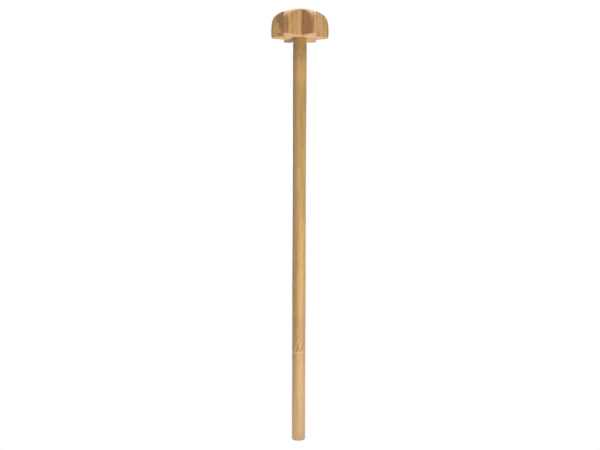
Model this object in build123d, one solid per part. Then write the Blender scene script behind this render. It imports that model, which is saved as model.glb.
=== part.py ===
from build123d import *
import os
from math import asin, cos, hypot, radians, sin, sqrt

# Bamboo muddler: a star-shaped pressing head, domed on top, glued on a long thin rod.
# Millimetres. Z runs along the rod, the head is at the top, and the origin is the centre of the
# rod's free end. The head is glued up from bamboo lamellae, then turned and notched as one block,
# so each lamella's outer faces are whatever the turning and the notches left of it.

os.makedirs("parts", exist_ok=True)

# Rod
ROD_DIAMETER = 10.0
ROD_REACH = 301.0  # free end to the underside of the head
ROD_TIP_ROUND = 1.5  # rounding around the free end
NECK_SWELL = 0.4  # how much thicker the rod is at the head than along its shank
NECK_LENGTH = 37.0  # thick stretch below the head
TAPER_LENGTH = 53.0  # from the thick stretch down to the shank
ROD_TOP_CHAMFER = 0.8  # lead-in on the glued end

# Head, turned
HEAD_DIAMETER = 43.0  # at its widest, across opposite lobes
HEAD_HEIGHT = 21.7  # flat underside to the top of the crown
BELLY_HEIGHT = 4.9  # the widest ring, above the underside
SIDE_RADIUS = 48.0  # slightly barrelled side, seen in section
SHOULDER_HEIGHT = 10.9  # where the side turns into the shoulder
SHOULDER_RADIUS = 9.0
FOOT_ROUND = 0.8  # rounding under the lobes' tips

# Head, notched
LOBE_COUNT = 6
NOTCH_ROOT_DIAMETER = 26.2  # across the roots of opposite notches
NOTCH_ROOT_ROUND = 0.4
LOBE_TIP_WIDTH = 4.0
NOTCH_OVERSHOOT = 1.0  # how far the cutter's lines run on past the turned side
SAWN_EDGE_ROUND = 0.4  # sanding of every edge that the notches leave

# Glued joint of rod and head
SOCKET_DEPTH = 14.0  # rod inside the head
GLUE_GAP = 0.05  # around the rod, radial
SOCKET_END_GAP = 0.5  # room for spare glue above the rod

# Lamination of the head
LAMELLA_COLUMNS = 6
LAMELLA_THICKNESS = 7.5
COLUMN_SHIFT = 2.5  # the middle seam lies this far to +X of the rod's axis
LAMELLA_ROWS = {"front": -1, "back": 1}  # either side of the seam along the X axis

NECK_DIAMETER = ROD_DIAMETER + NECK_SWELL
ABOVE_BASE = (Align.CENTER, Align.CENTER, Align.MIN)


def on_arc(centre, radius, angle):
    """A point of an arc in the head's section, as (distance from the axis, height)."""
    return (centre[0] + radius * cos(angle), centre[1] + radius * sin(angle))


def head_section():
    """Half section of the turned head: flat underside, barrelled side, shoulder and crown."""
    side_centre = (HEAD_DIAMETER / 2 - SIDE_RADIUS, BELLY_HEIGHT)
    foot_angle = -asin(BELLY_HEIGHT / SIDE_RADIUS)
    side_end_angle = asin((SHOULDER_HEIGHT - BELLY_HEIGHT) / SIDE_RADIUS)
    foot = on_arc(side_centre, SIDE_RADIUS, foot_angle)
    side_end = on_arc(side_centre, SIDE_RADIUS, side_end_angle)
    # The shoulder is tangent to the side below it and to the crown, whose centre is on the axis.
    shoulder_centre = on_arc(side_centre, SIDE_RADIUS - SHOULDER_RADIUS, side_end_angle)
    drop = HEAD_HEIGHT - shoulder_centre[1]
    crown_radius = (hypot(shoulder_centre[0], drop) ** 2 - SHOULDER_RADIUS**2) / (
        2 * (drop - SHOULDER_RADIUS)
    )
    crown_centre = (0, HEAD_HEIGHT - crown_radius)
    crown_angle = asin((crown_radius - drop) / (crown_radius - SHOULDER_RADIUS))
    crown_edge = on_arc(crown_centre, crown_radius, crown_angle)
    outline = [
        Line((0, 0), foot),
        ThreePointArc(foot, on_arc(side_centre, SIDE_RADIUS, 0), side_end),
        ThreePointArc(
            side_end,
            on_arc(shoulder_centre, SHOULDER_RADIUS, (side_end_angle + crown_angle) / 2),
            crown_edge,
        ),
        ThreePointArc(
            crown_edge,
            on_arc(crown_centre, crown_radius, (crown_angle + radians(90)) / 2),
            (0, HEAD_HEIGHT),
        ),
        Line((0, HEAD_HEIGHT), (0, 0)),
    ]
    section = make_face(outline)
    foot_corner = section.vertices().sort_by_distance((*foot, 0))[0]
    return fillet(foot_corner, FOOT_ROUND)


def star_plan():
    """Plan of the notched head: lobes with straight sides that narrow towards blunt tips."""
    half_tip = LOBE_TIP_WIDTH / 2
    half_pitch = radians(180 / LOBE_COUNT)
    root = (NOTCH_ROOT_DIAMETER / 2 * cos(half_pitch), NOTCH_ROOT_DIAMETER / 2 * sin(half_pitch))
    tip = (sqrt((HEAD_DIAMETER / 2) ** 2 - half_tip**2), half_tip)
    past_tip = (
        tip[0] + NOTCH_OVERSHOOT,
        tip[1] - NOTCH_OVERSHOOT * (root[1] - tip[1]) / (tip[0] - root[0]),
    )
    corners = []
    for lobe in range(LOBE_COUNT):
        turn = Rotation(0, 0, lobe * 360 / LOBE_COUNT)
        for corner in ((past_tip[0], -past_tip[1]), past_tip, root):
            corners.append((turn * Pos(*corner)).position)
    plan = make_face(Polyline(*corners, close=True))
    roots = plan.vertices().filter_by(lambda v: hypot(v.X, v.Y) < HEAD_DIAMETER / 2)
    return fillet(roots, NOTCH_ROOT_ROUND)


def sawn_edges(block):
    """The edges where a notch wall meets the turned surface or the underside."""
    flat_walls = block.faces().filter_by(GeomType.PLANE).filter_by(Axis.Z, reverse=True)
    rounded_roots = block.faces().filter_by(GeomType.CYLINDER)
    wall_edges = (flat_walls + rounded_roots).edges()
    return [edge for edge in wall_edges if sum(edge.is_same(other) for other in wall_edges) == 1]


def shaped_head():
    """The whole head in place on the rod, as the glued block leaves the lathe, saw and drill."""
    turned = revolve(Plane.XZ * head_section(), Axis.Z)
    notched = (turned & extrude(star_plan(), HEAD_HEIGHT)).solid()
    eased = fillet(sawn_edges(notched), SAWN_EDGE_ROUND)
    socket = Cylinder(NECK_DIAMETER / 2 + GLUE_GAP, SOCKET_DEPTH + SOCKET_END_GAP, align=ABOVE_BASE)
    return Pos(0, 0, ROD_REACH) * (eased - socket)


def lamella_stock(column, row_side):
    """The strip of the glued block that one lamella fills, before any shaping."""
    first_seam = COLUMN_SHIFT - (LAMELLA_COLUMNS / 2 - 1) * LAMELLA_THICKNESS
    seams = [first_seam + i * LAMELLA_THICKNESS for i in range(LAMELLA_COLUMNS - 1)]
    edges = [-HEAD_DIAMETER, *seams, HEAD_DIAMETER]
    left, right = edges[column], edges[column + 1]
    strip = Box(right - left, HEAD_DIAMETER, HEAD_HEIGHT, align=ABOVE_BASE)
    return Pos((left + right) / 2, row_side * HEAD_DIAMETER / 2, ROD_REACH) * strip


def handle_rod():
    """The turned rod: a straight shank that swells gently to the neck glued in the head."""
    neck_start = ROD_REACH - NECK_LENGTH
    taper_start = neck_start - TAPER_LENGTH
    shank = Cylinder(ROD_DIAMETER / 2, taper_start, align=ABOVE_BASE)
    taper = Cone(ROD_DIAMETER / 2, NECK_DIAMETER / 2, TAPER_LENGTH, align=ABOVE_BASE)
    neck = Cylinder(NECK_DIAMETER / 2, NECK_LENGTH + SOCKET_DEPTH, align=ABOVE_BASE)
    rod = shank + Pos(0, 0, taper_start) * taper + Pos(0, 0, neck_start) * neck
    rod = fillet(rod.edges().group_by(Axis.Z)[0], ROD_TIP_ROUND)
    return chamfer(rod.edges().group_by(Axis.Z)[-1], ROD_TOP_CHAMFER)


def save(shape, name):
    """Writes one piece to its own file and reports its size."""
    solids = shape.solids()
    piece = solids[0] if len(solids) == 1 else Compound(children=solids)
    piece.label = name
    export_step(piece, f"parts/{name}.step")
    print(f"{name}: {len(solids)} solid, {shape.volume / 1000:.2f} cm3")


save(handle_rod(), "handle_rod")
head = shaped_head()
for row, side in LAMELLA_ROWS.items():
    for column in range(LAMELLA_COLUMNS):
        save(head & lamella_stock(column, side), f"head_lamella_{row}_{column + 1}")
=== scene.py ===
"""Looks of a bamboo muddler: a notched, domed pressing head glued up from strips, on a thin turned rod.

Sizes are in millimetres until a mesh is finished; the shared frame is in metres. Z runs along the
rod, the rod's free end is at height 0 and the head is on top.
"""

import logging
import math
from dataclasses import dataclass, field
from enum import Enum

import bmesh
import bpy
from mathutils import Matrix, Vector, noise


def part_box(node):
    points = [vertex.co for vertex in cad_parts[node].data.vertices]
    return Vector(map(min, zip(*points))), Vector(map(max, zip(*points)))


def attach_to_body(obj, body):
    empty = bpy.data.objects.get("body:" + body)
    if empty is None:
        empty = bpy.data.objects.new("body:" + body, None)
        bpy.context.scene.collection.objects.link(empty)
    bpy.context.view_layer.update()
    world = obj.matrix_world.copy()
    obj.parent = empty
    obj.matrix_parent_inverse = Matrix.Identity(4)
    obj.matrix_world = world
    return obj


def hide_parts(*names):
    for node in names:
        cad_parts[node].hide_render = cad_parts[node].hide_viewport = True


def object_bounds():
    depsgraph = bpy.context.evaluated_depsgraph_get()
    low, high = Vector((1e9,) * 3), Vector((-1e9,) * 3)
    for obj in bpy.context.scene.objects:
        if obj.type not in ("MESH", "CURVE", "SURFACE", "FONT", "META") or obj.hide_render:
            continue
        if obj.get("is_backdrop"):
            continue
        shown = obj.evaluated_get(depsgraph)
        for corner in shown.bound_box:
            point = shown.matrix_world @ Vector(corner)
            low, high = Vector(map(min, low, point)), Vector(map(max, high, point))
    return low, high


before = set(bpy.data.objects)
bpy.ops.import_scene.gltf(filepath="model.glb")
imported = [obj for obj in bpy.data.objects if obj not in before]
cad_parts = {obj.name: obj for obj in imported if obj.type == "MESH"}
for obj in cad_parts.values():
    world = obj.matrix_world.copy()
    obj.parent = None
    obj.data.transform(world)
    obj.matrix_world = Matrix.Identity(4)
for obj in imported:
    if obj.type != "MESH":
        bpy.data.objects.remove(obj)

MM = 0.001  # one millimetre in the frame's metres
MERGE_MM = 0.0005  # points nearer than this are one point
ROOT_BODY = "root"
RUBBED = "rubbed_edge"  # the mesh attribute that says how near a sanded edge each point is
NOISE_MEAN = 0.5  # of each channel of a noise's colour
NOISE_SPREAD = 0.25  # how far a channel usually strays from its mean
SEED_SHIFT = (1.0, 1.7, 0.3)  # how far a seed moves a pattern along each axis
WHITE = "#FFFFFF"

Tree = bpy.types.NodeTree
Socket = bpy.types.NodeSocket
Form = bmesh.types.BMesh

log = logging.getLogger("muddler")


class Row(Enum):
    """The two rows of strips in the glued block, with the side of the middle seam they lie on."""

    FRONT = -1
    BACK = 1


class Skin(Enum):
    """Which face of a strip was nearest the culm's hard skin, where the fibres are densest."""

    LEFT = -1
    RIGHT = 1


def linear(hex_colour: str) -> tuple[float, float, float, float]:
    """Turns an sRGB hex colour into linear RGBA.

    Args:
        hex_colour: six hex digits, with or without a leading hash.

    Returns:
        Linear red, green, blue and an alpha of 1.
    """
    digits = hex_colour.lstrip("#")
    channels = []
    for start in (0, 2, 4):
        value = int(digits[start : start + 2], 16) / 255
        channels.append(value / 12.92 if value <= 0.04045 else ((value + 0.055) / 1.055) ** 2.4)
    return (channels[0], channels[1], channels[2], 1.0)


def socket(sockets: bpy.types.bpy_prop_collection, identifier: str) -> Socket:
    """Returns the socket with that identifier."""
    return next(s for s in sockets if s.identifier == identifier)


def add_node(
    tree: Tree, kind: str, settings: dict | None = None, links: dict | None = None
) -> bpy.types.Node:
    """Adds a node with its settings and its links.

    Args:
        tree: the node tree to add to.
        kind: the node's type, without the leading "ShaderNode".
        settings: the node's properties and input values, by name or socket identifier.
        links: input identifiers, each with the output socket that feeds it.

    Returns:
        The new node.
    """
    node = tree.nodes.new("ShaderNode" + kind)
    for name, value in (settings or {}).items():
        if hasattr(node, name):
            setattr(node, name, value)
        else:
            socket(node.inputs, name).default_value = value
    for name, source in (links or {}).items():
        tree.links.new(source, socket(node.inputs, name))
    return node


def empty_tree(owner: bpy.types.Material | bpy.types.World) -> Tree:
    """Gives the node tree of a material or a world, with nothing in it."""
    owner.use_nodes = True
    owner.node_tree.nodes.clear()
    return owner.node_tree


def between(source: tuple[float, float], target: tuple[float, float] = (0.0, 1.0)) -> dict[str, float]:
    """The settings that turn one pair of limits into another."""
    return dict(zip(("From Min", "From Max", "To Min", "To Max"), (*source, *target)))


def smooth_min(a: float, b: float, width: float) -> float:
    """The smaller of two numbers, with a rounded corner that is width wide where they cross."""
    overlap = max(width - abs(a - b), 0.0) / width
    return min(a, b) - overlap * overlap * width / 4


def smooth_max(a: float, b: float, width: float) -> float:
    """The larger of two numbers, with a rounded corner that is width wide where they cross."""
    return -smooth_min(-a, -b, width)


def bump(distance: float, half_width: float) -> float:
    """A smooth hump: 1 at distance 0, and 0 from half_width on."""
    t = min(abs(distance) / half_width, 1.0)
    return (1 - t * t) ** 2


def band(
    tree: Tree, value: Socket, centre: float, half: float, strength: float = 1.0, core: float = 0.0
) -> Socket:
    """A soft-edged band of a value.

    Args:
        tree: the node tree.
        value: what is measured, such as a height.
        centre: the band's middle.
        half: where the band has faded out, either side of its middle.
        strength: how strong the band is at its middle.
        core: either side of the middle, where the band starts to fade.

    Returns:
        The band's strength at each place.
    """
    off = add_node(tree, "Math", {"operation": "SUBTRACT", "Value_001": centre}, {"Value": value})
    away = add_node(tree, "Math", {"operation": "ABSOLUTE"}, {"Value": off.outputs[0]})
    fade = add_node(
        tree,
        "MapRange",
        {"interpolation_type": "SMOOTHSTEP", **between((core, half), (strength, 0.0))},
        {"Value": away.outputs[0]},
    )
    return fade.outputs[0]


def product(tree: Tree, first: Socket, *others: Socket) -> Socket:
    """Multiplies values.

    Args:
        tree: the node tree.
        first: the first value.
        others: the values that it is multiplied by.

    Returns:
        Their product at each place.
    """
    total = first
    for other in others:
        step = add_node(tree, "Math", {"operation": "MULTIPLY"}, {"Value": total, "Value_001": other})
        total = step.outputs[0]
    return total


def paint(tree: Tree, base: Socket, colour: str, *shares: Socket) -> Socket:
    """Turns a colour towards another one where all the shares agree.

    Args:
        tree: the node tree.
        base: the colour before.
        colour: what it turns to, sRGB hex.
        shares: how far it turns at each place, 0 to 1; they are multiplied.

    Returns:
        The colour after.
    """
    mixed = add_node(
        tree,
        "Mix",
        {"data_type": "RGBA", "B_Color": linear(colour)},
        {"Factor_Float": product(tree, *shares), "A_Color": base},
    )
    return socket(mixed.outputs, "Result_Color")


# ---------------------------------------------------------------------------------------------
# Finishes


@dataclass(frozen=True)
class StainAndPaintedLight:
    """A soft patch of colour in the wood: some are stains of another tone, some are painted light and
    shade.

    Attributes:
        at_mm: its middle.
        half_mm: how far it reaches along X, Y and Z.
        colour: sRGB hex.
        strength: how far it turns to that colour, 0 to 1.
        core: the share of its reach within which it is even.
    """

    at_mm: tuple[float, float, float]
    half_mm: tuple[float, float, float]
    colour: str
    strength: float
    core: float = 0.3

    def on(self, tree: Tree, place: Socket, colour: Socket) -> Socket:
        """Puts the patch on a colour.

        Args:
            tree: the node tree.
            place: the place on the surface, in millimetres.
            colour: the colour before.

        Returns:
            The colour after.
        """
        around = add_node(
            tree,
            "Mapping",
            {
                "Location": tuple(-at / half for at, half in zip(self.at_mm, self.half_mm)),
                "Scale": tuple(1 / half for half in self.half_mm),
            },
            {"Vector": place},
        )
        distance = add_node(tree, "VectorMath", {"operation": "LENGTH"}, {"Vector": around.outputs[0]})
        share = band(tree, socket(distance.outputs, "Value"), 0.0, 1.0, self.strength, self.core)
        return paint(tree, colour, self.colour, share)


@dataclass(frozen=True)
class BambooStock:
    """Bare bamboo, planed and sanded: straight fibre bundles in a paler ground tissue.

    The eye sees fine brown streaks along the culm and small dots wherever a surface cuts across
    them. The pattern is solid, so walls, crown and underside agree about where each bundle runs.

    Attributes:
        name: the material's name.
        pale: ground tissue, sRGB hex.
        deep: the browner bands between it.
        fibre: the bundles themselves.
        seed: moves the pattern, so that no two pieces match.
        stains_and_painted_light: its soft patches: stains of another tone, and painted light and shade.
        ground_noise: the noise values where the ground tissue is palest and deepest.
        streak_noise: the noise values where a fine streak begins and is full.
        bundle_edge: where a bundle starts to thin and where it ends, in bundle spacings.
        bundle_weight: the random values at which a bundle is missing and at which it is full.
        streak_shade: what the colour is multiplied by between streaks and on them.
        gloss_spread: what is added to the roughness between streaks and on them.
    """

    name: str
    pale: str
    deep: str
    fibre: str
    seed: float
    bundle_mm: float = 0.95  # real bundles are 0.4 to 0.6 mm apart; drawn coarser so that they show
    band_mm: float = 3.2
    wander_mm: float = 0.9  # how far a fibre strays sideways
    wander_scale: float = 0.05  # how often it does, per millimetre
    streak_stretch: float = 0.03  # a streak is this much finer across than along
    streaks_per_bundle: float = 2.2
    ground_noise: tuple[float, float] = (0.36, 0.66)
    streak_noise: tuple[float, float] = (0.3, 0.7)
    bundle_edge: tuple[float, float] = (0.18, 0.5)
    bundle_weight: tuple[float, float] = (0.25, 0.95)
    streak_shade: tuple[float, float] = (0.9, 1.08)
    gloss_spread: tuple[float, float] = (-0.06, 0.08)
    roughness: float = 0.58
    specular: float = 0.25
    fibre_strength: float = 0.65
    relief_mm: float = 0.05
    relief_strength: float = 0.6
    bundle_relief: float = 0.8  # a bundle's height next to a streak's
    sheen: float = 0.0  # how much the sanded fibre ends lighten the edges of a round form
    sheen_roughness: float = 0.4
    refraction: float = 1.5
    stains_and_painted_light: tuple[StainAndPaintedLight, ...] = ()

    def millimetres(self, tree: Tree) -> Socket:
        """Object coordinates in millimetres."""
        coordinates = add_node(tree, "TexCoord")
        scaled = add_node(
            tree,
            "Mapping",
            {"Scale": (1 / MM, 1 / MM, 1 / MM)},
            {"Vector": socket(coordinates.outputs, "Object")},
        )
        return scaled.outputs[0]

    def along_fibres(self, tree: Tree, place: Socket) -> Socket:
        """Coordinates that run with the fibres: they stray sideways a little and change slowly along Z.

        Args:
            tree: the node tree.
            place: the place on the surface, in millimetres.

        Returns:
            The coordinates for the fibre patterns.
        """
        drift = add_node(
            tree,
            "TexNoise",
            {"Scale": self.wander_scale, "Detail": 2.0, "Roughness": 0.55},
            {"Vector": place},
        )
        centred = add_node(
            tree,
            "VectorMath",
            {"operation": "SUBTRACT", "Vector_001": (NOISE_MEAN, NOISE_MEAN, NOISE_MEAN)},
            {"Vector": socket(drift.outputs, "Color")},
        )
        sideways = self.wander_mm / NOISE_SPREAD
        strayed = add_node(
            tree,
            "VectorMath",
            {"operation": "MULTIPLY_ADD", "Vector_001": (sideways, sideways, 0.0)},
            {"Vector": centred.outputs[0], "Vector_002": place},
        )
        stretched = add_node(
            tree,
            "Mapping",
            {
                "Location": tuple(share * self.seed for share in SEED_SHIFT),
                "Scale": (1.0, 1.0, self.streak_stretch),
            },
            {"Vector": strayed.outputs[0]},
        )
        return stretched.outputs[0]

    def grain(self, tree: Tree, fibres: Socket, density: Socket | None = None) -> dict[str, Socket]:
        """The colour and relief of plain grain.

        Args:
            tree: the node tree.
            fibres: coordinates that run with the fibres.
            density: how dense the bundles are, 0 to 1, where that varies.

        Returns:
            The colour, how much of a bundle each place holds, and the fine streaks.
        """
        bands = add_node(
            tree,
            "TexNoise",
            {"Scale": 1 / self.band_mm, "Detail": 3.0, "Roughness": 0.6},
            {"Vector": fibres},
        )
        band_share = add_node(
            tree, "MapRange", between(self.ground_noise), {"Value": socket(bands.outputs, "Fac")}
        )
        streaks = add_node(
            tree,
            "TexNoise",
            {"Scale": self.streaks_per_bundle / self.bundle_mm, "Detail": 2.0, "Roughness": 0.7},
            {"Vector": fibres},
        )
        streak_share = add_node(
            tree, "MapRange", between(self.streak_noise), {"Value": socket(streaks.outputs, "Fac")}
        )
        bundles = add_node(
            tree, "TexVoronoi", {"Scale": 1 / self.bundle_mm, "Randomness": 0.9}, {"Vector": fibres}
        )
        core = add_node(
            tree,
            "MapRange",
            between(self.bundle_edge, (1.0, 0.0)),
            {"Value": socket(bundles.outputs, "Distance")},
        )
        per_bundle = add_node(tree, "SeparateColor", None, {"Color": socket(bundles.outputs, "Color")})
        weight = add_node(
            tree, "MapRange", between(self.bundle_weight), {"Value": socket(per_bundle.outputs, "Red")}
        )
        bundle = product(tree, core.outputs[0], weight.outputs[0])
        if density is not None:
            bundle = product(tree, bundle, density)
        banded = add_node(
            tree,
            "Mix",
            {"data_type": "RGBA", "A_Color": linear(self.pale), "B_Color": linear(self.deep)},
            {"Factor_Float": band_share.outputs[0]},
        )
        fibre_share = add_node(
            tree, "Math", {"operation": "MULTIPLY", "Value_001": self.fibre_strength}, {"Value": bundle}
        )
        ground = socket(banded.outputs, "Result_Color")
        with_bundles = paint(tree, ground, self.fibre, fibre_share.outputs[0])
        shade = add_node(
            tree, "MapRange", between((0.0, 1.0), self.streak_shade), {"Value": streak_share.outputs[0]}
        )
        streaked = add_node(
            tree, "VectorMath", {"operation": "SCALE"}, {"Vector": with_bundles, "Scale": shade.outputs[0]}
        )
        return {"colour": streaked.outputs[0], "bundle": bundle, "streak": streak_share.outputs[0]}

    def surface(self, tree: Tree, colour: Socket, bundle: Socket, streak: Socket) -> None:
        """Joins colour, roughness and relief to the shader.

        Args:
            tree: the node tree.
            colour: the finished colour.
            bundle: how much of a bundle each place holds; bundles stand proud.
            streak: the fine streaks, which stand proud a little and are rougher.
        """
        glosses = tuple(self.roughness + spread for spread in self.gloss_spread)
        gloss = add_node(tree, "MapRange", between((0.0, 1.0), glosses), {"Value": streak})
        height = add_node(
            tree,
            "Math",
            {"operation": "MULTIPLY_ADD", "Value_001": self.bundle_relief},
            {"Value": bundle, "Value_002": streak},
        )
        relief = add_node(
            tree,
            "Bump",
            {"Strength": self.relief_strength, "Distance": self.relief_mm * MM},
            {"Height": height.outputs[0]},
        )
        shader = add_node(
            tree,
            "BsdfPrincipled",
            {
                "IOR": self.refraction,
                "Specular IOR Level": self.specular,
                "Sheen Weight": self.sheen,
                "Sheen Roughness": self.sheen_roughness,
            },
            {"Base Color": colour, "Roughness": gloss.outputs[0], "Normal": relief.outputs[0]},
        )
        add_node(tree, "OutputMaterial", None, {"Surface": shader.outputs[0]})


@dataclass(frozen=True)
class VeinAndPaintedShade:
    """A narrow upright stripe in a strip: some are of another tone, some are painted shade.

    Attributes:
        at_mm: its middle, along X.
        half_mm: half its width.
        colour: sRGB hex.
        strength: how far it turns to that colour, 0 to 1.
    """

    at_mm: float
    half_mm: float
    colour: str
    strength: float


@dataclass(frozen=True)
class LaminatedBamboo(BambooStock):
    """One strip of a glued bamboo block, sawn and sanded with the rest of the block.

    Its fibres crowd together and darken towards the face that lay under the culm's skin, so the
    eye reads each seam as a step in tone with a thin dark line of glue. Sawn edges are rubbed pale.

    Attributes:
        left_mm: the strip's seam to -X.
        right_mm: its seam to +X.
        skin: the face that the fibres crowd towards.
        veins_and_painted_shade: its upright stripes, of another tone and of painted shade.
        sparse: how dense the fibres are at the other face, where 1 is the skin's.
        sole_mm: the height of its underside, its sanded end grain, which is painted paler and more even
            for the light from the table below.
        underside_light_edge_mm: above the underside, where that painted light starts to fade and where it
            ends.
    """

    left_mm: float = -1.0
    right_mm: float = 1.0
    skin: Skin = Skin.RIGHT
    veins_and_painted_shade: tuple[VeinAndPaintedShade, ...] = ()
    sparse: float = 0.25
    sole_mm: float = 0.0
    underside_light_edge_mm: tuple[float, float] = (0.1, 0.35)
    # painted light: the underside is drawn paler, standing for the light from the table below
    underside_light: str = "#CDA678"
    underside_light_strength: float = 0.4
    glue: str = "#64401F"
    glue_mm: float = 0.4  # a real glue line is about 0.1 mm; drawn wider so that it shows
    glue_strength: float = 0.5
    rubbed: str = "#B48D60"
    rubbed_strength: float = 0.15

    def material(self) -> bpy.types.Material:
        """Builds the material."""
        material = bpy.data.materials.new(self.name)
        tree = empty_tree(material)
        place = self.millimetres(tree)
        axes = add_node(tree, "SeparateXYZ", None, {"Vector": place})
        across, deep = axes.outputs[0], axes.outputs[1]
        densities = (self.sparse, 1.0) if self.skin is Skin.RIGHT else (1.0, self.sparse)
        density = add_node(
            tree, "MapRange", between((self.left_mm, self.right_mm), densities), {"Value": across}
        )
        grain = self.grain(tree, self.along_fibres(tree, place), density.outputs[0])
        colour = grain["colour"]
        for stripe_mark in self.veins_and_painted_shade:
            stripe = band(tree, across, stripe_mark.at_mm, stripe_mark.half_mm, stripe_mark.strength)
            colour = paint(tree, colour, stripe_mark.colour, stripe)
        for patch in self.stains_and_painted_light:
            colour = patch.on(tree, place, colour)
        for value, seam in ((across, self.left_mm), (across, self.right_mm), (deep, 0.0)):
            line = band(tree, value, seam, self.glue_mm, self.glue_strength)
            colour = paint(tree, colour, self.glue, line)
        # painted light on the underside: a paler band for the light from the table below
        even, gone = self.underside_light_edge_mm
        underside_light = band(tree, axes.outputs[2], self.sole_mm, gone, self.underside_light_strength, even)
        colour = paint(tree, colour, self.underside_light, underside_light)
        edges = add_node(tree, "Attribute", {"attribute_name": RUBBED})
        wear = add_node(
            tree, "MapRange", {"To Max": self.rubbed_strength}, {"Value": socket(edges.outputs, "Fac")}
        )
        colour = paint(tree, colour, self.rubbed, wear.outputs[0])
        self.surface(tree, colour, grain["bundle"], grain["streak"])
        return material


@dataclass(frozen=True)
class CulmNode:
    """A place where the culm had a joint: its bundles turn sideways there and are cut across.

    Attributes:
        height_mm: its middle, above the rod's free end.
        half_mm: how far its brown dots reach up and down.
        strength: how dark its marks are, 0 to 1.
        ring: how plain its pale ring and brown line are, 0 to 1.
    """

    height_mm: float
    half_mm: float
    strength: float
    ring: float


@dataclass(frozen=True)
class Score:
    """A few centimetres where one dark bundle lies open along the rod.

    Attributes:
        at_mm: its place along X.
        height_mm: its middle, above the rod's free end.
        reach_mm: how far it runs up and down.
        strength: how dark it is, 0 to 1.
    """

    at_mm: float
    height_mm: float
    reach_mm: float
    strength: float


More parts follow.
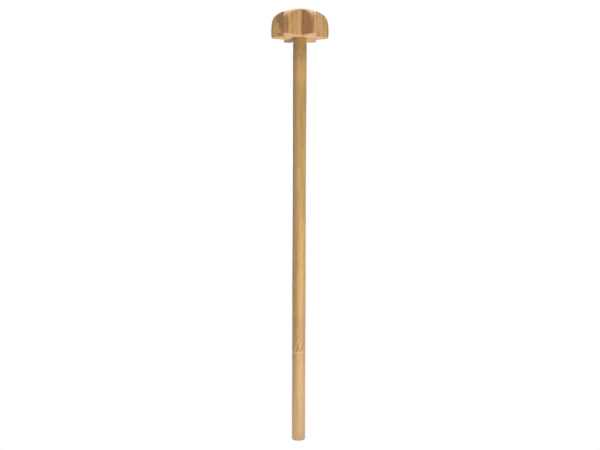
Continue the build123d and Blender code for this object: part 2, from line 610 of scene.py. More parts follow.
@dataclass(frozen=True)
class TurnedBamboo(BambooStock):
    """A rod turned from one split of a culm wall and sanded.

    The eye sees straight streaks that part around each culm joint, a ring of brown dots where
    the joint's bundles were cut across, and pointed grain above it. The free end is painted paler:
    partly the bamboo's paler tone, partly painted light from the table below.

    Attributes:
        nodes: the culm joints along the rod.
        scores: the single dark bundles that stand out.
        tip: the paler colour towards the free end, sRGB hex: partly the bamboo's tone, partly painted
            light.
        speck: the dots and lines at a joint.
        speck_shift_mm: moves the pattern of dots round and along the rod.
        speck_edge: where a dot starts to fade and where it ends, in dot spacings.
        curl_mm: how far the marks stray from an even ring.
        parting: how much wider the streaks lie apart at a joint.
        parting_reach: how far they do, in reaches of the joint's dots.
        score_core: the share of a dark bundle's reach within which it is even.
        ridge: the pale ring below the dots.
        point_slope: how steeply the pointed grain rises to the middle.
        point_rise_mm: the middle of the pointed grain, above the joint.
        point_half_mm: how far it reaches up and down.
        point_core_mm: up and down, where it starts to fade.
    """

    nodes: tuple[CulmNode, ...] = ()
    scores: tuple[Score, ...] = ()
    tip: str = "#D0AB7D"
    tip_strength: float = 0.75
    tip_reach_mm: float = 85.0
    speck: str = "#7A5120"
    speck_mm: float = 2.3
    speck_shift_mm: tuple[float, float, float] = (2.0, 5.0, 0.0)
    speck_edge: tuple[float, float] = (0.24, 0.52)
    curl_mm: float = 2.0
    curl_scale: float = 0.3
    parting: float = 0.3
    parting_reach: float = 4.0
    score_half_mm: float = 0.45
    score_core: float = 0.7
    ridge: str = "#DDBB8A"
    ridge_drop_mm: float = 3.2
    ridge_half_mm: float = 1.1
    ridge_core_mm: float = 0.3
    ridge_strength: float = 0.2
    line_drop_mm: float = 4.9
    line_half_mm: float = 0.8
    line_strength: float = 0.3
    line_slant: float = 0.22
    point_slope: float = 1.9
    point_pitch_mm: float = 5.5
    point_strength: float = 0.5
    point_rise_mm: float = 7.5
    point_half_mm: float = 6.5
    point_core_mm: float = 2.0

    def material(self) -> bpy.types.Material:
        """Builds the material."""
        material = bpy.data.materials.new(self.name)
        tree = empty_tree(material)
        place = self.millimetres(tree)
        axes = add_node(tree, "SeparateXYZ", None, {"Vector": place})
        height = axes.outputs[2]
        parted = place
        for node in self.nodes:
            reach = self.parting_reach * node.half_mm
            spread = band(tree, height, node.height_mm, reach, self.parting)
            widened = add_node(
                tree,
                "VectorMath",
                {"operation": "MULTIPLY_ADD"},
                {"Vector": parted, "Vector_001": spread, "Vector_002": parted},
            )
            parted = widened.outputs[0]
        grain = self.grain(tree, self.along_fibres(tree, parted))
        # paler towards the free end: partly the bamboo's paler tone, partly painted light from the table
        # below
        paler_end_and_light = add_node(
            tree,
            "MapRange",
            between((0.0, self.tip_reach_mm), (self.tip_strength, 0.0)),
            {"Value": height},
        )
        colour = paint(tree, grain["colour"], self.tip, paler_end_and_light.outputs[0])
        for patch in self.stains_and_painted_light:
            colour = patch.on(tree, place, colour)
        for score in self.scores:
            stripe = band(tree, axes.outputs[0], score.at_mm, self.score_half_mm, score.strength)
            even = self.score_core * score.reach_mm
            stretch = band(tree, height, score.height_mm, score.reach_mm, 1.0, even)
            colour = paint(tree, colour, self.fibre, stripe, stretch)
        for node in self.nodes:
            colour = self.joint_marks(tree, place, colour, node)
        self.surface(tree, colour, grain["bundle"], grain["streak"])
        return material

    def joint_marks(self, tree: Tree, place: Socket, colour: Socket, node: CulmNode) -> Socket:
        """The marks of one culm joint: dots, a pale ring, a brown line and pointed grain above.

        Args:
            tree: the node tree.
            place: the place on the surface, in millimetres.
            colour: the colour below the marks.
            node: the joint.

        Returns:
            The colour with the marks.
        """
        drift = add_node(tree, "TexNoise", {"Scale": self.curl_scale, "Detail": 2.0}, {"Vector": place})
        curled = add_node(
            tree,
            "VectorMath",
            {"operation": "MULTIPLY_ADD", "Vector_001": (self.curl_mm, self.curl_mm, self.curl_mm)},
            {"Vector": socket(drift.outputs, "Color"), "Vector_002": place},
        )
        axes = add_node(tree, "SeparateXYZ", None, {"Vector": curled.outputs[0]})
        height = axes.outputs[2]
        middle = node.height_mm + NOISE_MEAN * self.curl_mm  # as high as the drift lifts the marks

        ring = band(
            tree,
            height,
            middle - self.ridge_drop_mm,
            self.ridge_half_mm,
            self.ridge_strength * node.ring,
            self.ridge_core_mm,
        )
        colour = paint(tree, colour, self.ridge, ring)

        slanted = add_node(
            tree,
            "Math",
            {"operation": "MULTIPLY_ADD", "Value_001": -self.line_slant},
            {"Value": axes.outputs[0], "Value_002": height},
        )
        line = band(
            tree,
            slanted.outputs[0],
            middle - self.line_drop_mm,
            self.line_half_mm,
            self.line_strength * node.ring,
        )
        colour = paint(tree, colour, self.speck, line)

        shifted = add_node(
            tree, "Mapping", {"Location": self.speck_shift_mm}, {"Vector": curled.outputs[0]}
        )
        dots = add_node(
            tree,
            "TexVoronoi",
            {"Scale": 1 / self.speck_mm, "Randomness": 0.8},
            {"Vector": shifted.outputs[0]},
        )
        dot = add_node(
            tree,
            "MapRange",
            between(self.speck_edge, (1.0, 0.0)),
            {"Value": socket(dots.outputs, "Distance")},
        )
        zone = band(tree, height, middle, node.half_mm, node.strength, node.half_mm / 2)
        colour = paint(tree, colour, self.speck, dot.outputs[0], zone)

        aside = add_node(tree, "Math", {"operation": "ABSOLUTE"}, {"Value": axes.outputs[0]})
        pointed = add_node(
            tree,
            "Math",
            {"operation": "MULTIPLY_ADD", "Value_001": -self.point_slope},
            {"Value": aside.outputs[0], "Value_002": height},
        )
        folded = add_node(
            tree,
            "Math",
            {"operation": "PINGPONG", "Value_001": self.point_pitch_mm / 2},
            {"Value": pointed.outputs[0]},
        )
        points = band(tree, folded.outputs[0], 0.0, self.point_pitch_mm / 3, self.point_strength)
        above = band(
            tree,
            height,
            middle + self.point_rise_mm,
            self.point_half_mm,
            node.strength,
            self.point_core_mm,
        )
        return paint(tree, colour, self.speck, points, above)


def plainly_white(tree: Tree, lit: Socket, white: Socket) -> Socket:
    """Lets a studio surface look plain white, and light the muddler more softly than that.

    Args:
        tree: the node tree.
        lit: what the surface lights the muddler with.
        white: how it looks, and how it is reflected.

    Returns:
        The shader.
    """
    rays = add_node(tree, "LightPath")
    shown = add_node(
        tree,
        "Math",
        {"operation": "MAXIMUM"},
        {
            "Value": socket(rays.outputs, "Is Camera Ray"),
            "Value_001": socket(rays.outputs, "Is Glossy Ray"),
        },
    )
    mixed = add_node(
        tree, "MixShader", None, {"Fac": shown.outputs[0], "Shader": lit, "Shader_001": white}
    )
    return mixed.outputs[0]


@dataclass(frozen=True)
class OpalAcrylic:
    """A frosted white acrylic table lit from below, as under small goods: white and shadowless."""

    name: str = "opal_acrylic"
    colour: str = "#DCDCDA"
    roughness: float = 0.7
    glow: float = 0.1

    def material(self) -> bpy.types.Material:
        """Builds the material."""
        material = bpy.data.materials.new(self.name)
        tree = empty_tree(material)
        acrylic = add_node(
            tree,
            "BsdfPrincipled",
            {
                "Base Color": linear(self.colour),
                "Roughness": self.roughness,
                "Emission Color": linear(WHITE),
                "Emission Strength": self.glow,
            },
        )
        white = add_node(tree, "Emission", {"Color": linear(WHITE), "Strength": 1.0})
        shader = plainly_white(tree, acrylic.outputs[0], white.outputs[0])
        add_node(tree, "OutputMaterial", None, {"Surface": shader})
        return material


# ---------------------------------------------------------------------------------------------
# Shapes


def line_to(
    bm: Form, start: bmesh.types.BMVert, end: tuple[float, float], parts: int
) -> bmesh.types.BMVert:
    """Draws a straight stretch of a section.

    Args:
        bm: the mesh that holds the section, in the XZ plane.
        start: the section's last point.
        end: where the stretch ends, as distance from the axis and height.
        parts: how many equal edges it has.

    Returns:
        The section's new last point.
    """
    step = (Vector((end[0], 0.0, end[1])) - start.co) / parts
    for _ in range(parts):
        place = start.co + step
        start = bmesh.ops.extrude_vert_indiv(bm, verts=[start])["verts"][0]
        start.co = place
    return start


def arc_to(
    bm: Form, start: bmesh.types.BMVert, centre: tuple[float, float], angle: float, parts: int
) -> bmesh.types.BMVert:
    """Draws a round stretch of a section, counter-clockwise.

    Args:
        bm: the mesh that holds the section, in the XZ plane.
        start: the section's last point.
        centre: the arc's centre, as distance from the axis and height.
        angle: how far the arc turns, in radians.
        parts: how many edges it has.

    Returns:
        The section's new last point.
    """
    swept = bmesh.ops.spin(
        bm,
        geom=[start],
        cent=(centre[0], 0.0, centre[1]),
        axis=(0.0, -1.0, 0.0),
        angle=angle,
        steps=parts,
        use_duplicate=False,
    )
    return next(g for g in swept["geom_last"] if isinstance(g, bmesh.types.BMVert))


def turn_on_lathe(bm: Form, steps: int) -> None:
    """Spins the section in bm once around the Z axis and closes the form.

    Args:
        bm: holds the section on entry and the turned form on return.
        steps: how many steps the turn has.
    """
    bmesh.ops.spin(
        bm,
        geom=[*bm.verts, *bm.edges],
        cent=(0.0, 0.0, 0.0),
        axis=(0.0, 0.0, 1.0),
        angle=2 * math.pi,
        steps=steps,
        use_merge=True,
        use_duplicate=False,
    )
    bmesh.ops.remove_doubles(bm, verts=bm.verts, dist=MERGE_MM)
    bmesh.ops.recalc_face_normals(bm, faces=bm.faces)


def thin_out(bm: Form, radius: float, steps: int, keep_every: int) -> None:
    """Takes away most meridians near the axis, where they crowd together.

    Args:
        bm: a form turned on the Z axis.
        radius: within this distance of the axis.
        steps: how many meridians the form has.
        keep_every: one in this many stays.
    """
    crowded = []
    for edge in bm.edges:
        near, far = sorted(edge.verts, key=lambda v: v.co.xy.length)
        across = (far.co - near.co).xy.length
        along_meridian = across < MERGE_MM or abs(near.co.xy.cross(far.co.xy)) < MERGE_MM * across
        if not along_meridian or far.co.xy.length > radius:
            continue
        meridian = round(math.atan2(far.co.y, far.co.x) / (2 * math.pi) * steps)
        if meridian % keep_every:
            crowded.append(edge)
    bmesh.ops.dissolve_edges(bm, edges=crowded, use_verts=True)


def as_piece(bm: Form, name: str, lift_mm: float) -> bpy.types.Object:
    """Makes the finished form an object in metres.

    Args:
        bm: the form in millimetres, which is freed.
        name: the object's name.
        lift_mm: how far up the form goes.

    Returns:
        The object, at the origin.
    """
    place = Matrix.Scale(MM, 4) @ Matrix.Translation((0.0, 0.0, lift_mm))
    bmesh.ops.transform(bm, matrix=place, verts=bm.verts)
    mesh = bpy.data.meshes.new(name)
    bm.to_mesh(mesh)
    bm.free()
    piece = bpy.data.objects.new(name, mesh)
    bpy.context.scene.collection.objects.link(piece)
    return piece


def attach(piece: bpy.types.Object, node: str, material: bpy.types.Material) -> None:
    """Gives a piece its finish and lets it stand for its CAD node.

    Args:
        piece: the finished piece.
        node: the CAD node that it replaces.
        material: its finish.
    """
    piece.data.materials.append(material)
    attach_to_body(piece, ROOT_BODY)
    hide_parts(node)
    log.info("%s: %d faces, %s", piece.name, len(piece.data.polygons), material.name)


@dataclass
class HandleRod:
    """The turned bamboo rod, glued into the head at its top end.

    Attributes:
        nodes: the culm joints along it.
        finish: its material.
        row_mm: the height of each ring of faces.
        steps: how many faces each ring has.
        thin_radius: where its end faces keep only one meridian in thin_every.
        ring_rise: how far a joint's ring stands proud.
        fibre_scale: how often the raised fibres change, across and along, per millimetre.
        hand_scale: how often the hand's unevenness does.
    """

    nodes: tuple[CulmNode, ...]
    finish: TurnedBamboo
    shank_radius: float = 5.0
    neck_swell: float = 0.2
    taper_from: float = 211.0
    taper_to: float = 264.0
    tip_round: float = 1.5
    top_chamfer: float = 0.8
    belly_height: float = 118.0
    belly_half: float = 48.0
    belly_swell: float = 0.07
    row_mm: float = 1.0
    steps: int = 96
    thin_radius: float = 2.0
    thin_every: int = 4
    ring_rise: float = 0.05
    pit_depth: float = 0.16
    pit_scale: float = 0.7
    fibre_relief: float = 0.02
    fibre_scale: tuple[float, float] = (0.9, 0.05)
    hand_relief: float = 0.03
    hand_scale: float = 0.08
    length: float = field(init=False)

    def __post_init__(self) -> None:
        """Takes the length from the CAD node."""
        self.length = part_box("handle_rod")[1].z / MM

    def turned(self) -> Form:
        """The plain rod as it leaves the lathe."""
        bm = bmesh.new()
        radius = self.shank_radius
        point = bm.verts.new((0.0, 0.0, 0.0))
        point = line_to(bm, point, (radius - self.tip_round, 0.0), parts=4)
        round_centre = (radius - self.tip_round, self.tip_round)
        point = arc_to(bm, point, round_centre, math.pi / 2, parts=6)
        top_edge = self.length - self.top_chamfer
        rows = round((top_edge - self.tip_round) / self.row_mm)
        point = line_to(bm, point, (radius, top_edge), parts=rows)
        point = line_to(bm, point, (radius - self.top_chamfer, self.length), parts=1)
        line_to(bm, point, (0.0, self.length), parts=2)
        turn_on_lathe(bm, self.steps)
        thin_out(bm, self.thin_radius, self.steps, self.thin_every)
        return bm

    def swell(self, height: float) -> float:
        """How much thicker than the shank the rod is at a height, in millimetres on the radius."""
        rise = (height - self.taper_from) / (self.taper_to - self.taper_from)
        taper = self.neck_swell * min(max(rise, 0.0), 1.0)
        return taper + self.belly_swell * bump(height - self.belly_height, self.belly_half)

    def sand(self, bm: Form) -> None:
        """Gives the rod its swelling, the low rings and pits at its joints, and a hand-sanded skin."""
        for vert in bm.verts:
            radius = vert.co.xy.length
            if radius < self.shank_radius - self.tip_round:
                continue
            grow = self.swell(vert.co.z)
            for node in self.nodes:
                near = bump(vert.co.z - node.height_mm, node.half_mm)
                pit = self.pit_depth * max(noise.noise(vert.co * self.pit_scale), 0.0)
                grow += node.strength * near * (self.ring_rise - pit)
            across, along = self.fibre_scale
            fibre = noise.noise(Vector((vert.co.x * across, vert.co.y * across, vert.co.z * along)))
            hand = noise.noise(vert.co * self.hand_scale)
            grow += self.fibre_relief * fibre + self.hand_relief * hand
            vert.co.xy *= 1 + grow / radius

    def build(self) -> None:
        """Makes, dresses and attaches the rod."""
        bm = self.turned()
        self.sand(bm)
        for face in bm.faces:
            face.smooth = True
        piece = as_piece(bm, "turned_rod", 0.0)
        attach(piece, "handle_rod", self.finish.material())


@dataclass
class NotchedHead:
    """The pressing head: a block of upright strips, turned to a dome, notched and drilled.

    Heights are above its flat underside. The star has lobes on both ends of the X axis, and a
    notch faces the front.

    Attributes:
        finishes: the material of each strip, by row and column from -X.
        edge_blend: the width of the sanded rounding along each sawn edge.
        sole_round: the rounding where a notch wall meets the underside.
        front_root_turn: the front notch was sawn this far off centre.
        root_blend: either side of a root, the turn within which its two walls run together.
        steps: how many faces each ring of the block has.
        calm_inset: this far inside the notch roots, the crown's rings grow wider.
        thin_inset: this far inside them, only one meridian in thin_every is left.
        fibre_stretch: a raised fibre is this much finer across than along.
        hand_scale: how often the hand's unevenness changes, per millimetre.
        hand_shift: moves it, so that the head and the rod differ.
    """

    finishes: dict[tuple[Row, int], LaminatedBamboo]
    belly_height: float = 4.9
    side_radius: float = 48.0
    shoulder_height: float = 10.9
    shoulder_radius: float = 9.0
    foot_round: float = 0.8
    lobes: int = 6
    root_radius: float = 13.1
    root_round: float = 0.5
    tip_width: float = 4.0
    edge_blend: float = 0.5
    sole_round: float = 0.4
    front_root_turn: float = math.radians(3.4)
    root_blend: float = 0.35
    socket_radius: float = 5.25
    socket_depth: float = 14.5
    steps: int = 720
    calm_inset: float = 1.5
    thin_inset: float = 1.6
    thin_every: int = 6
    fibre_relief: float = 0.03
    fibre_stretch: float = 0.05
    hand_relief: float = 0.07
    hand_scale: float = 0.16
    hand_shift: tuple[float, float, float] = (7.0, 3.0, 1.0)
    underside: float = field(init=False)
    height: float = field(init=False)
    radius: float = field(init=False)

    def __post_init__(self) -> None:
        """Takes the overall sizes from the CAD nodes."""
        low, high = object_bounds()
        self.radius = high.x / MM
        self.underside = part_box("head_lamella_front_1")[0].z / MM
        self.height = high.z / MM - self.underside

    def section(self, bm: Form) -> None:
        """Draws half the section: socket, underside, foot, side, shoulder and crown."""
        side_centre = Vector((self.radius - self.side_radius, self.belly_height))
        foot_reach = self.side_radius - self.foot_round
        foot_drop = self.belly_height - self.foot_round
        foot_angle = -math.asin(foot_drop / foot_reach)
        foot_centre = (side_centre.x + foot_reach * math.cos(foot_angle), self.foot_round)
        side_end = math.asin((self.shoulder_height - self.belly_height) / self.side_radius)
        shoulder_reach = self.side_radius - self.shoulder_radius
        to_shoulder = Vector((math.cos(side_end), math.sin(side_end)))
        shoulder_centre = side_centre + shoulder_reach * to_shoulder
        drop = self.height - shoulder_centre.y
        crown_radius = (shoulder_centre.x**2 + drop**2 - self.shoulder_radius**2) / (
            2 * (drop - self.shoulder_radius)
        )
        crown_centre = (0.0, self.height - crown_radius)
        crown_edge = math.asin((crown_radius - drop) / (crown_radius - self.shoulder_radius))
        crown_calm = math.acos((self.root_radius - self.calm_inset) / crown_radius)

        point = bm.verts.new((0.0, 0.0, self.socket_depth))
        point = line_to(bm, point, (self.socket_radius, self.socket_depth), parts=2)
        point = line_to(bm, point, (self.socket_radius, 0.0), parts=6)
        point = line_to(bm, point, (foot_centre[0], 0.0), parts=26)
        point = arc_to(bm, point, foot_centre, math.pi / 2 + foot_angle, parts=6)
        point = arc_to(bm, point, tuple(side_centre), side_end - foot_angle, parts=18)
        point = arc_to(bm, point, tuple(shoulder_centre), crown_edge - side_end, parts=22)
        point = arc_to(bm, point, crown_centre, crown_calm - crown_edge, parts=14)
        point = arc_to(bm, point, crown_centre, math.pi / 2 - crown_calm, parts=12)
        point.co.x = 0.0

    def wall_radius(self, angle: float) -> float:
        """How far from the axis the notch's walls leave material, at an angle around the star.

        Args:
            angle: around the axis from +X, in radians.

        Returns:
            The distance, well past the turned side where a lobe's tip is.
        """
        pitch = 2 * math.pi / self.lobes
        lobe = math.floor(angle / pitch)
        half_tip = math.asin(self.tip_width / 2 / self.radius)
        front = lobe == 3 * self.lobes // 4
        root_angle = (lobe + 0.5) * pitch + (self.front_root_turn if front else 0.0)
        root = self.root_radius * Vector((math.cos(root_angle), math.sin(root_angle)))
        ray = Vector((math.cos(angle), math.sin(angle)))
        reaches = []
        for tip_angle in (lobe * pitch + half_tip, (lobe + 1) * pitch - half_tip):
            tip = self.radius * Vector((math.cos(tip_angle), math.sin(tip_angle)))
            wall = root - tip
            reaches.append(tip.cross(wall) / ray.cross(wall))
        past_side = 2 * self.radius
        reaches = [reach if 0 < reach < past_side else past_side for reach in reaches]
        if angle < root_angle - self.root_blend:
            return reaches[0]
        if angle > root_angle + self.root_blend:
            return reaches[1]
        return smooth_max(reaches[0], reaches[1], self.root_round)

    def notch(self, bm: Form) -> None:
        """Saws the notches: each ring of the turned block is drawn in to the notch walls."""
        flat_edge = max(v.co.x for v in bm.verts if abs(v.co.z) < MERGE_MM)
        rubbed = bm.verts.layers.float.new(RUBBED)
        reach_at = {}
        for vert in bm.verts:
            radius = vert.co.xy.length
            if radius < self.socket_radius + MERGE_MM:
                continue
            angle = math.atan2(vert.co.y, vert.co.x) % (2 * math.pi)
            key = round(angle, 5)
            if key not in reach_at:
                reach_at[key] = self.wall_radius(angle)
            reach = reach_at[key]
            rise = min(max(vert.co.z, 0.0), self.sole_round)
            inset = self.sole_round - math.sqrt(self.sole_round**2 - (self.sole_round - rise) ** 2)
            if abs(vert.co.z) < MERGE_MM:
                edge = smooth_min(flat_edge, reach - inset, self.edge_blend)
                share = (radius - self.socket_radius) / (flat_edge - self.socket_radius)
                drawn = self.socket_radius + share * (edge - self.socket_radius)
            else:
                drawn = smooth_min(radius, reach - inset, self.edge_blend)
                vert[rubbed] = bump(radius - reach, self.edge_blend)
            vert.co.xy *= drawn / radius

    def sand(self, bm: Form) -> None:
        """Gives the sawn and turned faces their slight unevenness and raised fibres."""
        bm.normal_update()
        moves = []
        for vert in bm.verts:
            near_axis = vert.co.xy.length < self.socket_radius + MERGE_MM
            in_socket = near_axis and vert.co.z < self.height / 2
            if in_socket or abs(vert.co.z) < self.sole_round:
                continue
            fibre = noise.noise(Vector((vert.co.x, vert.co.y, vert.co.z * self.fibre_stretch)))
            hand = noise.noise(vert.co * self.hand_scale + Vector(self.hand_shift))
            rise = self.fibre_relief * fibre + self.hand_relief * hand
            moves.append((vert, vert.normal * rise))
        for vert, move in moves:
            vert.co += move

    def cut(self, bm: Form, plane_point: Vector, outward: Vector) -> None:
        """Cuts the block on a seam, keeps the side away from outward and closes the cut.

        Args:
            bm: the block or a part of it.
            plane_point: a point on the seam.
            outward: the seam's normal, pointing at what goes.
        """
        sliced = bmesh.ops.bisect_plane(
            bm,
            geom=[*bm.verts, *bm.edges, *bm.faces],
            dist=MERGE_MM,
            plane_co=plane_point,
            plane_no=outward,
            clear_outer=True,
        )
        rim = [g for g in sliced["geom_cut"] if isinstance(g, bmesh.types.BMEdge)]
        filled = bmesh.ops.triangle_fill(bm, edges=rim, use_beauty=True, normal=outward)
        for face in filled["geom"]:
            if isinstance(face, bmesh.types.BMFace):
                face.smooth = False
        for edge in rim:
            if edge.is_valid:
                edge.smooth = False

    def build(self) -> None:
        """Makes the block, cuts it on its seams, and dresses and attaches each strip."""
        block = bmesh.new()
        self.section(block)
        turn_on_lathe(block, self.steps)
        self.notch(block)
        self.sand(block)
        thin_out(block, self.root_radius - self.thin_inset, self.steps, self.thin_every)
        for face in block.faces:
            face.smooth = True
        columns = max(column for _, column in self.finishes)
        for row in Row:
            rest = block.copy()
            self.cut(rest, Vector(), Vector((0.0, -row.value, 0.0)))
            for column in range(1, columns + 1):
                name = f"{row.name.lower()}_{column}"
                strip = rest.copy()
                if column < columns:
                    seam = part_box(f"head_lamella_{name}")[1] / MM
                    self.cut(strip, seam, Vector((1.0, 0.0, 0.0)))
                    self.cut(rest, seam, Vector((-1.0, 0.0, 0.0)))
                piece = as_piece(strip, f"head_strip_{name}", self.underside)
                finish = self.finishes[row, column].material()
                attach(piece, f"head_lamella_{name}", finish)
            rest.free()
        block.free()


# ---------------------------------------------------------------------------------------------
# Studio


@dataclass(frozen=True)
class Softbox:
    """A square soft light.

    Attributes:
        name: its name.
        at: where it stands, in metres.
        size: the length of its side, in metres.
        power: in watts.
        colour: sRGB hex.
        aim: the point that it faces.
    """

    name: str
    at: tuple[float, float, float]
    size: float
    power: float
    colour: str = WHITE
    aim: tuple[float, float, float] = (0.0, 0.0, 0.3)

    def build(self) -> None:
        """Hangs the light."""
        light = bpy.data.lights.new(self.name, "AREA")
        light.size = self.size
        light.energy = self.power
        light.color = linear(self.colour)[:3]
        lamp = bpy.data.objects.new(self.name, light)
        lamp.location = self.at
        facing = Vector(self.aim) - Vector(self.at)
        lamp.rotation_euler = facing.to_track_quat("-Z", "Y").to_euler()
        bpy.context.scene.collection.objects.link(lamp)


@dataclass
class Studio:
    """A round white light table in a white tent, with soft lights, and the camera."""

    table_radius: float = 0.3
    tent_light: float = 0.13  # how much of the tent's white reaches the muddler
    lights: tuple[Softbox, ...] = (
        Softbox("low_key_light", (0.13, -0.245, 0.02), 0.14, 2.25, "#FFFAF4", (0.0, 0.0, 1.4)),
        Softbox("top_light", (0.0, -0.1, 1.0), 0.6, 8.6),
        Softbox("left_fill", (-1.1, -0.5, 0.25), 0.8, 2.4),
        Softbox("back_light", (-0.2, 1.0, 0.7), 0.8, 11.0),
    )
    camera_distance: float = 0.75
    camera_height: float = 0.161
    camera_side: float = 0.0006
    camera_roll: float = math.radians(-0.206)
    lens_mm: float = 60.0
    sensor_mm: float = 36.0

    def table(self) -> None:
        """The floor that the muddler stands on."""
        bm = bmesh.new()
        bmesh.ops.create_circle(bm, cap_ends=True, segments=96, radius=self.table_radius)
        mesh = bpy.data.meshes.new("light_table")
        bm.to_mesh(mesh)
        bm.free()
        table = bpy.data.objects.new("light_table", mesh)
        table.data.materials.append(OpalAcrylic().material())
        bpy.context.scene.collection.objects.link(table)
        table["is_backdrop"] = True

    def tent(self) -> None:
        """White cloth all round: it looks plain white, and lights the muddler softly."""
        world = bpy.data.worlds.new("light_tent")
        tree = empty_tree(world)
        cloth = add_node(tree, "Background", {"Color": linear(WHITE), "Strength": 1.0})
        glow = add_node(tree, "Background", {"Color": linear(WHITE), "Strength": self.tent_light})
        shader = plainly_white(tree, glow.outputs[0], cloth.outputs[0])
        add_node(tree, "OutputWorld", None, {"Surface": shader})
        bpy.context.scene.world = world

    def camera(self) -> None:
        """The level camera at half the muddler's height."""
        data = bpy.data.cameras.new("camera")
        data.lens = self.lens_mm
        data.sensor_width = self.sensor_mm
        camera = bpy.data.objects.new("camera", data)
        camera.location = (self.camera_side, -self.camera_distance, self.camera_height)
        camera.rotation_euler = (math.pi / 2, self.camera_roll, 0.0)
        bpy.context.scene.collection.objects.link(camera)
        bpy.context.scene.camera = camera

    def build(self) -> None:
        """Sets up the table, the lights and the camera."""
        self.table()
        self.tent()
        for light in self.lights:
            light.build()
        self.camera()
        view = bpy.context.scene.view_settings
        view.view_transform = "Standard"
        view.look = "None"
        view.exposure = 0.0
        log.info("studio: %.0f mm lens, %.2f m away", self.lens_mm, self.camera_distance)


# ---------------------------------------------------------------------------------------------


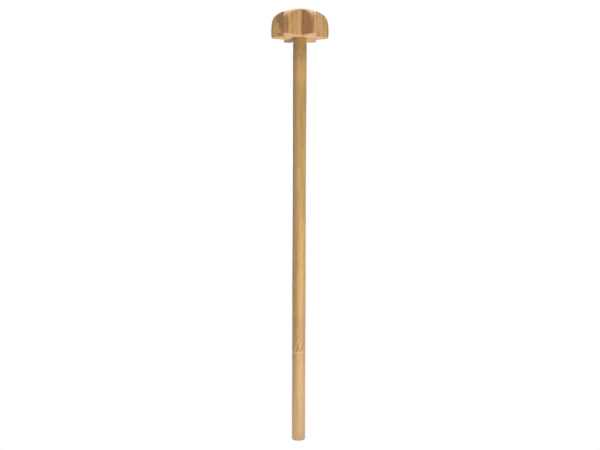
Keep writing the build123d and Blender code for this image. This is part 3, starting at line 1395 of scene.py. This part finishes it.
def strip_finishes() -> dict[tuple[Row, int], LaminatedBamboo]:
    """The finish of each strip: neighbours come from different culms, so their tones differ; some also
    carry painted light and shade.
    """
    tones = {
        # front strip 1 is toned paler: partly its own tone, partly painted light on the left lobe's face,
        # which faces away from the key light
        (Row.FRONT, 1): ("#BD9767", "#A88153", "#714625", Skin.LEFT),
        (Row.FRONT, 2): ("#B79263", "#A37D51", "#724523", Skin.LEFT),
        (Row.FRONT, 3): ("#B79467", "#A37E52", "#764E2A", Skin.RIGHT),
        # front strip 4 is toned darker: partly a redder tone, partly painted shade of the front notch's
        # right wall, which faces away from the key light
        (Row.FRONT, 4): ("#AB8259", "#966D46", "#6B3F23", Skin.RIGHT),
        (Row.FRONT, 5): ("#B79468", "#A58257", "#7F5730", Skin.RIGHT),
        (Row.FRONT, 6): ("#AF8F63", "#9D7D52", "#74512B", Skin.LEFT),
        (Row.BACK, 1): ("#B49060", "#9E794C", "#6C4A27", Skin.RIGHT),
        (Row.BACK, 2): ("#AB8558", "#967045", "#684123", Skin.LEFT),
        (Row.BACK, 3): ("#B89566", "#A58052", "#77512B", Skin.LEFT),
        (Row.BACK, 4): ("#B08A5D", "#9B744A", "#6B4424", Skin.RIGHT),
        (Row.BACK, 5): ("#AA8154", "#956C42", "#653E22", Skin.LEFT),
        (Row.BACK, 6): ("#B69264", "#A48051", "#75502A", Skin.RIGHT),
    }
    veins_and_painted_shade = {
        # the first stripe is faint painted shade in the groove between the left and front-left lobes
        (Row.FRONT, 1): (VeinAndPaintedShade(-13.4, 0.8, "#7A583A", 0.12), VeinAndPaintedShade(-17.0, 1.6, "#A87B50", 0.4)),
        (Row.FRONT, 2): (VeinAndPaintedShade(-11.6, 1.0, "#8F7355", 0.4), VeinAndPaintedShade(-5.5, 1.0, "#8C6438", 0.35)),
        # painted shade along the front notch's root, where its shaded wall begins
        (Row.FRONT, 3): (VeinAndPaintedShade(1.4, 1.5, "#806035", 0.38),),
        # painted shade on the front notch's right wall, with a redder tone
        (Row.FRONT, 4): (VeinAndPaintedShade(5.5, 2.5, "#8C5C3C", 0.3),),
        (Row.FRONT, 6): (VeinAndPaintedShade(19.4, 0.8, "#A5824F", 0.5),),
    }
    # painted highlights: pale patches on the front lobes' crown shoulders, where the top light falls
    right_shoulder_highlight = StainAndPaintedLight((10.2, -15.0, 318.0), (6.0, 10.0, 5.0), "#D6BE92", 0.45)
    left_shoulder_highlight = StainAndPaintedLight((-10.2, -15.0, 318.0), (6.0, 10.0, 4.5), "#D6B98C", 0.28)
    # painted light: a pale patch on the front-right underside, where the low key light falls
    front_right_underside_light = StainAndPaintedLight((7.2, -7.5, 301.0), (5.0, 7.0, 1.5), "#DCD0A8", 0.4)
    # painted shadow of the rod on the rear-left underside, with the greyer tone of end grain
    rod_shadow_and_grey_end_grain = StainAndPaintedLight((-10.0, 15.5, 301.0), (7.5, 9.0, 1.5), "#614F34", 0.55)
    pale_sole = StainAndPaintedLight((10.0, 15.5, 301.0), (7.5, 9.0, 1.5), "#797C66", 0.65)
    stains_and_painted_light = {
        (Row.FRONT, 1): (
            StainAndPaintedLight((-17.2, -4.5, 313.2), (1.0, 4.0, 1.1), "#96502E", 0.6),
            StainAndPaintedLight((-15.6, -5.5, 312.4), (0.9, 4.0, 1.0), "#96502E", 0.5),
            StainAndPaintedLight((-18.6, -3.5, 311.0), (0.9, 4.0, 1.3), "#A5683F", 0.5),
            # painted shade at the left lobe's lower corner, by the groove to the front-left lobe
            StainAndPaintedLight((-14.5, -4.5, 303.0), (3.4, 4.0, 1.4), "#7E4A22", 0.6),
            # painted shade along the left lobe's outer tip, where its side turns away from the light
            StainAndPaintedLight((-21.0, -2.0, 307.0), (1.4, 4.0, 9.0), "#7F6A48", 0.5),
        ),
        (Row.FRONT, 2): (StainAndPaintedLight((-9.0, -17.0, 307.0), (1.4, 6.0, 13.0), "#8C5226", 0.9), left_shoulder_highlight),
        (Row.FRONT, 4): (
            # the first patch is painted shade along the front notch's right wall, up to the lobe's edge
            StainAndPaintedLight((9.4, -18.5, 307.0), (1.9, 4.5, 10.0), "#75492C", 0.5), right_shoulder_highlight, front_right_underside_light
        ),
        (Row.FRONT, 5): (
            # the last patch is painted shade at the right lobe's lower corner, by the groove to the
            # front-right lobe
            right_shoulder_highlight, front_right_underside_light, StainAndPaintedLight((13.8, -5.5, 303.2), (1.8, 5.0, 2.0), "#8C6A48", 0.4)
        ),
        (Row.FRONT, 6): (
            StainAndPaintedLight((18.4, -3.5, 315.0), (0.9, 4.0, 2.4), "#BE9D50", 0.45),
            StainAndPaintedLight((19.6, -3.0, 311.5), (0.8, 4.0, 2.0), "#8F6A3A", 0.5),
            # painted shade along the right lobe's outer tip, where its side turns away from the front
            # light
            StainAndPaintedLight((20.9, -2.0, 306.0), (1.6, 4.0, 8.0), "#7F6448", 0.5),
        ),
        **{(Row.BACK, column): (rod_shadow_and_grey_end_grain,) for column in (1, 2, 3)},
        (Row.BACK, 4): (pale_sole,),
        (Row.BACK, 5): (pale_sole, StainAndPaintedLight((12.4, 20.4, 301.0), (1.6, 1.4, 1.5), "#766A50", 0.5)),
    }
    finishes = {}
    for order, ((row, column), (pale, deep, fibre, skin)) in enumerate(tones.items()):
        low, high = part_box(f"head_lamella_{row.name.lower()}_{column}")
        finishes[row, column] = LaminatedBamboo(
            name=f"laminated_bamboo_{row.name.lower()}_{column}",
            pale=pale,
            deep=deep,
            fibre=fibre,
            seed=13.7 * order,
            left_mm=low.x / MM,
            right_mm=high.x / MM,
            skin=skin,
            veins_and_painted_shade=veins_and_painted_shade.get((row, column), ()),
            stains_and_painted_light=stains_and_painted_light.get((row, column), ()),
            sole_mm=low.z / MM,
        )
    return finishes


def main() -> None:
    """Builds the studio and the muddler."""
    logging.basicConfig(level=logging.INFO, format="%(name)s: %(message)s")
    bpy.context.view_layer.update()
    Studio().build()
    joints = (CulmNode(69.0, 3.6, 0.8, 1.0), CulmNode(289.5, 8.0, 0.5, 0.0))
    rod_finish = TurnedBamboo(
        name="turned_bamboo",
        roughness=0.52,
        specular=0.5,
        sheen=0.3,
        pale="#A1834F",
        deep="#8F7040",
        fibre="#785027",
        seed=5.0,
        nodes=joints,
        scores=(
            Score(0.9, 232.0, 13.0, 0.55),
            Score(2.4, 230.0, 12.0, 0.4),
            Score(3.7, 257.0, 15.0, 0.5),
            Score(-1.2, 146.0, 20.0, 0.3),
            Score(2.0, 175.0, 24.0, 0.35),
            Score(-0.9, 24.0, 12.0, 0.35),
        ),
        stains_and_painted_light=(
            StainAndPaintedLight((0.3, -5.0, 48.0), (3.4, 6.0, 9.0), "#B98B6C", 0.4),
            # painted light: a pale band lifts the head's shadow on the rod's upper end
            StainAndPaintedLight((0.0, 0.0, 276.0), (14.0, 14.0, 20.0), "#C59C66", 0.5),
            # painted shade on the rod just under the head, with the orange of light bounced from the
            # underside
            StainAndPaintedLight((0.0, 0.0, 302.0), (12.0, 12.0, 9.0), "#9A6430", 0.35),
            StainAndPaintedLight((4.2, -3.0, 299.5), (1.8, 2.5, 3.0), "#B98838", 0.5),
        ),
    )
    HandleRod(nodes=joints, finish=rod_finish).build()
    NotchedHead(finishes=strip_finishes()).build()


if __name__ == "__main__":
    main()
